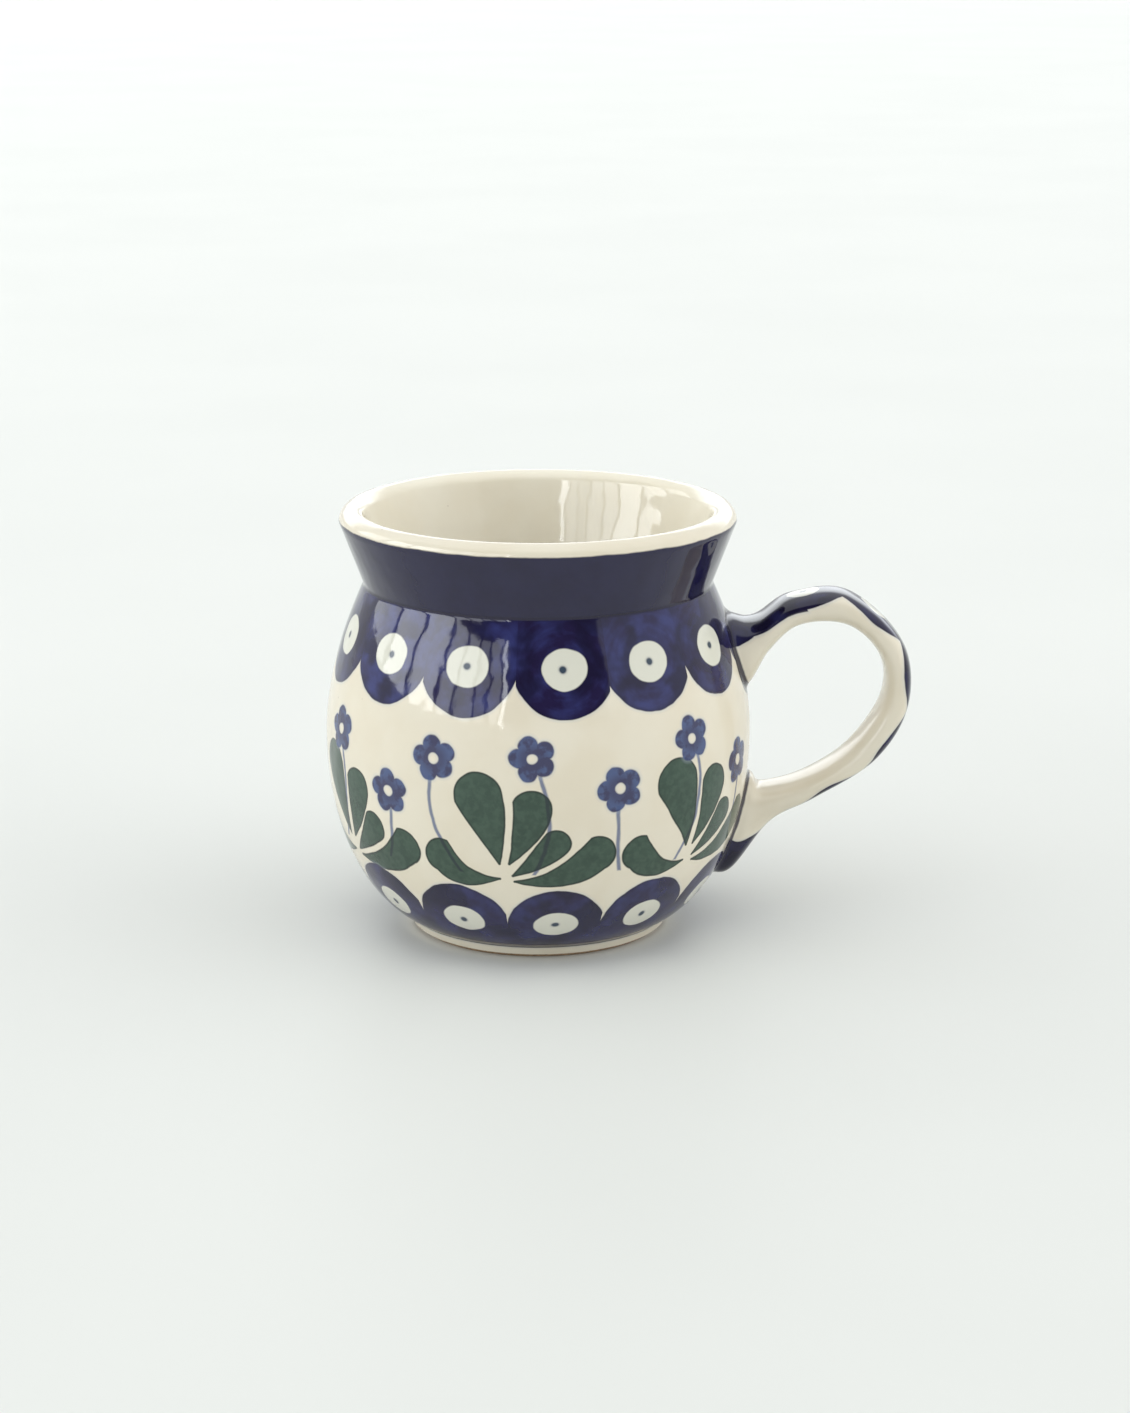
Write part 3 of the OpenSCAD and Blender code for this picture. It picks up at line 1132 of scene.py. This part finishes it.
def build_panes():
    """The window's bright panes, seen in the glaze's reflections and lighting no matt surface."""
    middle = (PANE_BOTTOM + PANE_TOP) / 2
    height = PANE_TOP - PANE_BOTTOM
    for index, (start, end, glow) in enumerate(PANES):
        place = polar((start + end) / 2, WINDOW_DISTANCE, middle)
        width = WINDOW_DISTANCE * math.radians(start - end)
        power = glow * math.pi * width * height
        pane = area_light(f"pane_{index}", place, (0, 0, middle), (width, height), power, PANE_COLOUR)
        pane.visible_diffuse = False


def build_soft_lights():
    """The window's soft light and a broad light far behind, which show in no reflection."""
    window_place = polar(WINDOW_AZIMUTH, WINDOW_DISTANCE, WINDOW_HEIGHT)
    window = area_light("window", window_place, WINDOW_TARGET, WINDOW_SIZE, WINDOW_POWER, WINDOW_COLOUR)
    far = area_light("far_light", FAR_PLACE, FAR_TARGET, FAR_SIZE, FAR_POWER, FAR_COLOUR)
    for light in (window, far):
        light.visible_glossy = False


# Brightness of the room that lights matt surfaces
FRONT_LOW = 0.74
FRONT_HIGH = 0.22
BACK = 0.30
LEFT = 1.6
RIGHT = 2.1
ABOVE_BACK = 0.76
ABOVE_FRONT = 1.38
# Colours of the room that the glaze mirrors
MIRRORED_LOW = rgb(0.82, 0.84, 0.84)
MIRRORED_HIGH = rgb(1.3, 1.34, 1.36)
MIRRORED_DIM = rgb(0.09, 0.09, 0.095)
MIRRORED_BEYOND = rgb(2.6, 2.7, 2.75)
# The azimuth that the dim part of the mirrored room centres on, and how far it reaches each way
DIM_AZIMUTH = -30
DIM_REACH = 70
BACKDROP = rgb(0.92, 0.94, 0.93)


def daylight(level):
    """A pale, slightly cool colour of this brightness."""
    return rgb(level, level * 1.02, level * 1.015)


def lit_room(x, y, z):
    """The room as matt surfaces see it: brightest at both sides, and dim in front above the table."""
    front = blend(spread(z, 0.15, 0.45), daylight(FRONT_LOW), daylight(FRONT_HIGH))
    around = blend(spread(y, 0.4, -0.5), daylight(BACK), front)
    around = blend(spread(x * -1, 0.45, 0.9), around, daylight(LEFT))
    around = blend(spread(x, 0.45, 0.9), around, daylight(RIGHT))
    above = blend(spread(y, 0.3, -0.3), daylight(ABOVE_BACK), daylight(ABOVE_FRONT))
    return blend(spread(z, 0.45, 0.85), around, above)


def mirrored_room(x, y, z):
    """The room as the glaze mirrors it: dim in front and on the left, and bright beyond the mug."""
    azimuth = x.maths("ARCTAN2", y * -1) * (180 / math.pi)
    beside = cover((azimuth - DIM_AZIMUTH).size() - DIM_REACH, 2.0)
    dim = beside * spread(z, 0.85, 0.7) * spread(z, 0.12, 0.2)
    beyond = spread(y, 0.6, 0.85) * spread(z, 0.6, 0.4) * spread(z, 0.06, 0.18)
    room = blend(spread(z, 0.45, 0.95), MIRRORED_LOW, MIRRORED_HIGH)
    room = blend(dim, room, MIRRORED_DIM)
    return blend(beyond, room, MIRRORED_BEYOND)


def build_world():
    """A pale room, one for matt surfaces and one for reflections, behind a plain backdrop."""
    world = bpy.data.worlds.new("pale_room")
    bpy.context.scene.world = world
    world.use_nodes = True
    tree = world.node_tree
    node = tree.nodes.new("ShaderNodeTexCoord")
    direction = Flow(tree, node.outputs["Generated"]).split()
    path = tree.nodes.new("ShaderNodeLightPath")
    reflected = Flow(tree, path.outputs["Is Glossy Ray"])
    seen = Flow(tree, path.outputs["Is Camera Ray"])
    room = blend(reflected, lit_room(*direction), mirrored_room(*direction))
    feed(tree, tree.nodes["Background"].inputs["Color"], blend(seen, room, BACKDROP))


CAMERA_PLACE = (0, -0.65644, 0.22322)
CAMERA_TILT = 0.2625
CAMERA_TURN = 0.00862
LENS_MM = 81.5
SENSOR_MM = 36


def build_camera():
    """The camera at the photograph's angle, tilted down and turned slightly right."""
    camera = bpy.data.cameras.new("camera")
    camera.lens = LENS_MM
    camera.sensor_width = SENSOR_MM
    camera.clip_start = 0.01
    camera.clip_end = 50
    obj = bpy.data.objects.new("camera", camera)
    obj.location = CAMERA_PLACE
    obj.rotation_euler = (math.pi / 2 - CAMERA_TILT, 0, -CAMERA_TURN)
    bpy.context.scene.collection.objects.link(obj)
    bpy.context.scene.camera = obj


build_mug()
build_floor()
build_panes()
build_soft_lights()
build_world()
build_camera()
bpy.context.scene.view_settings.view_transform = "Standard"
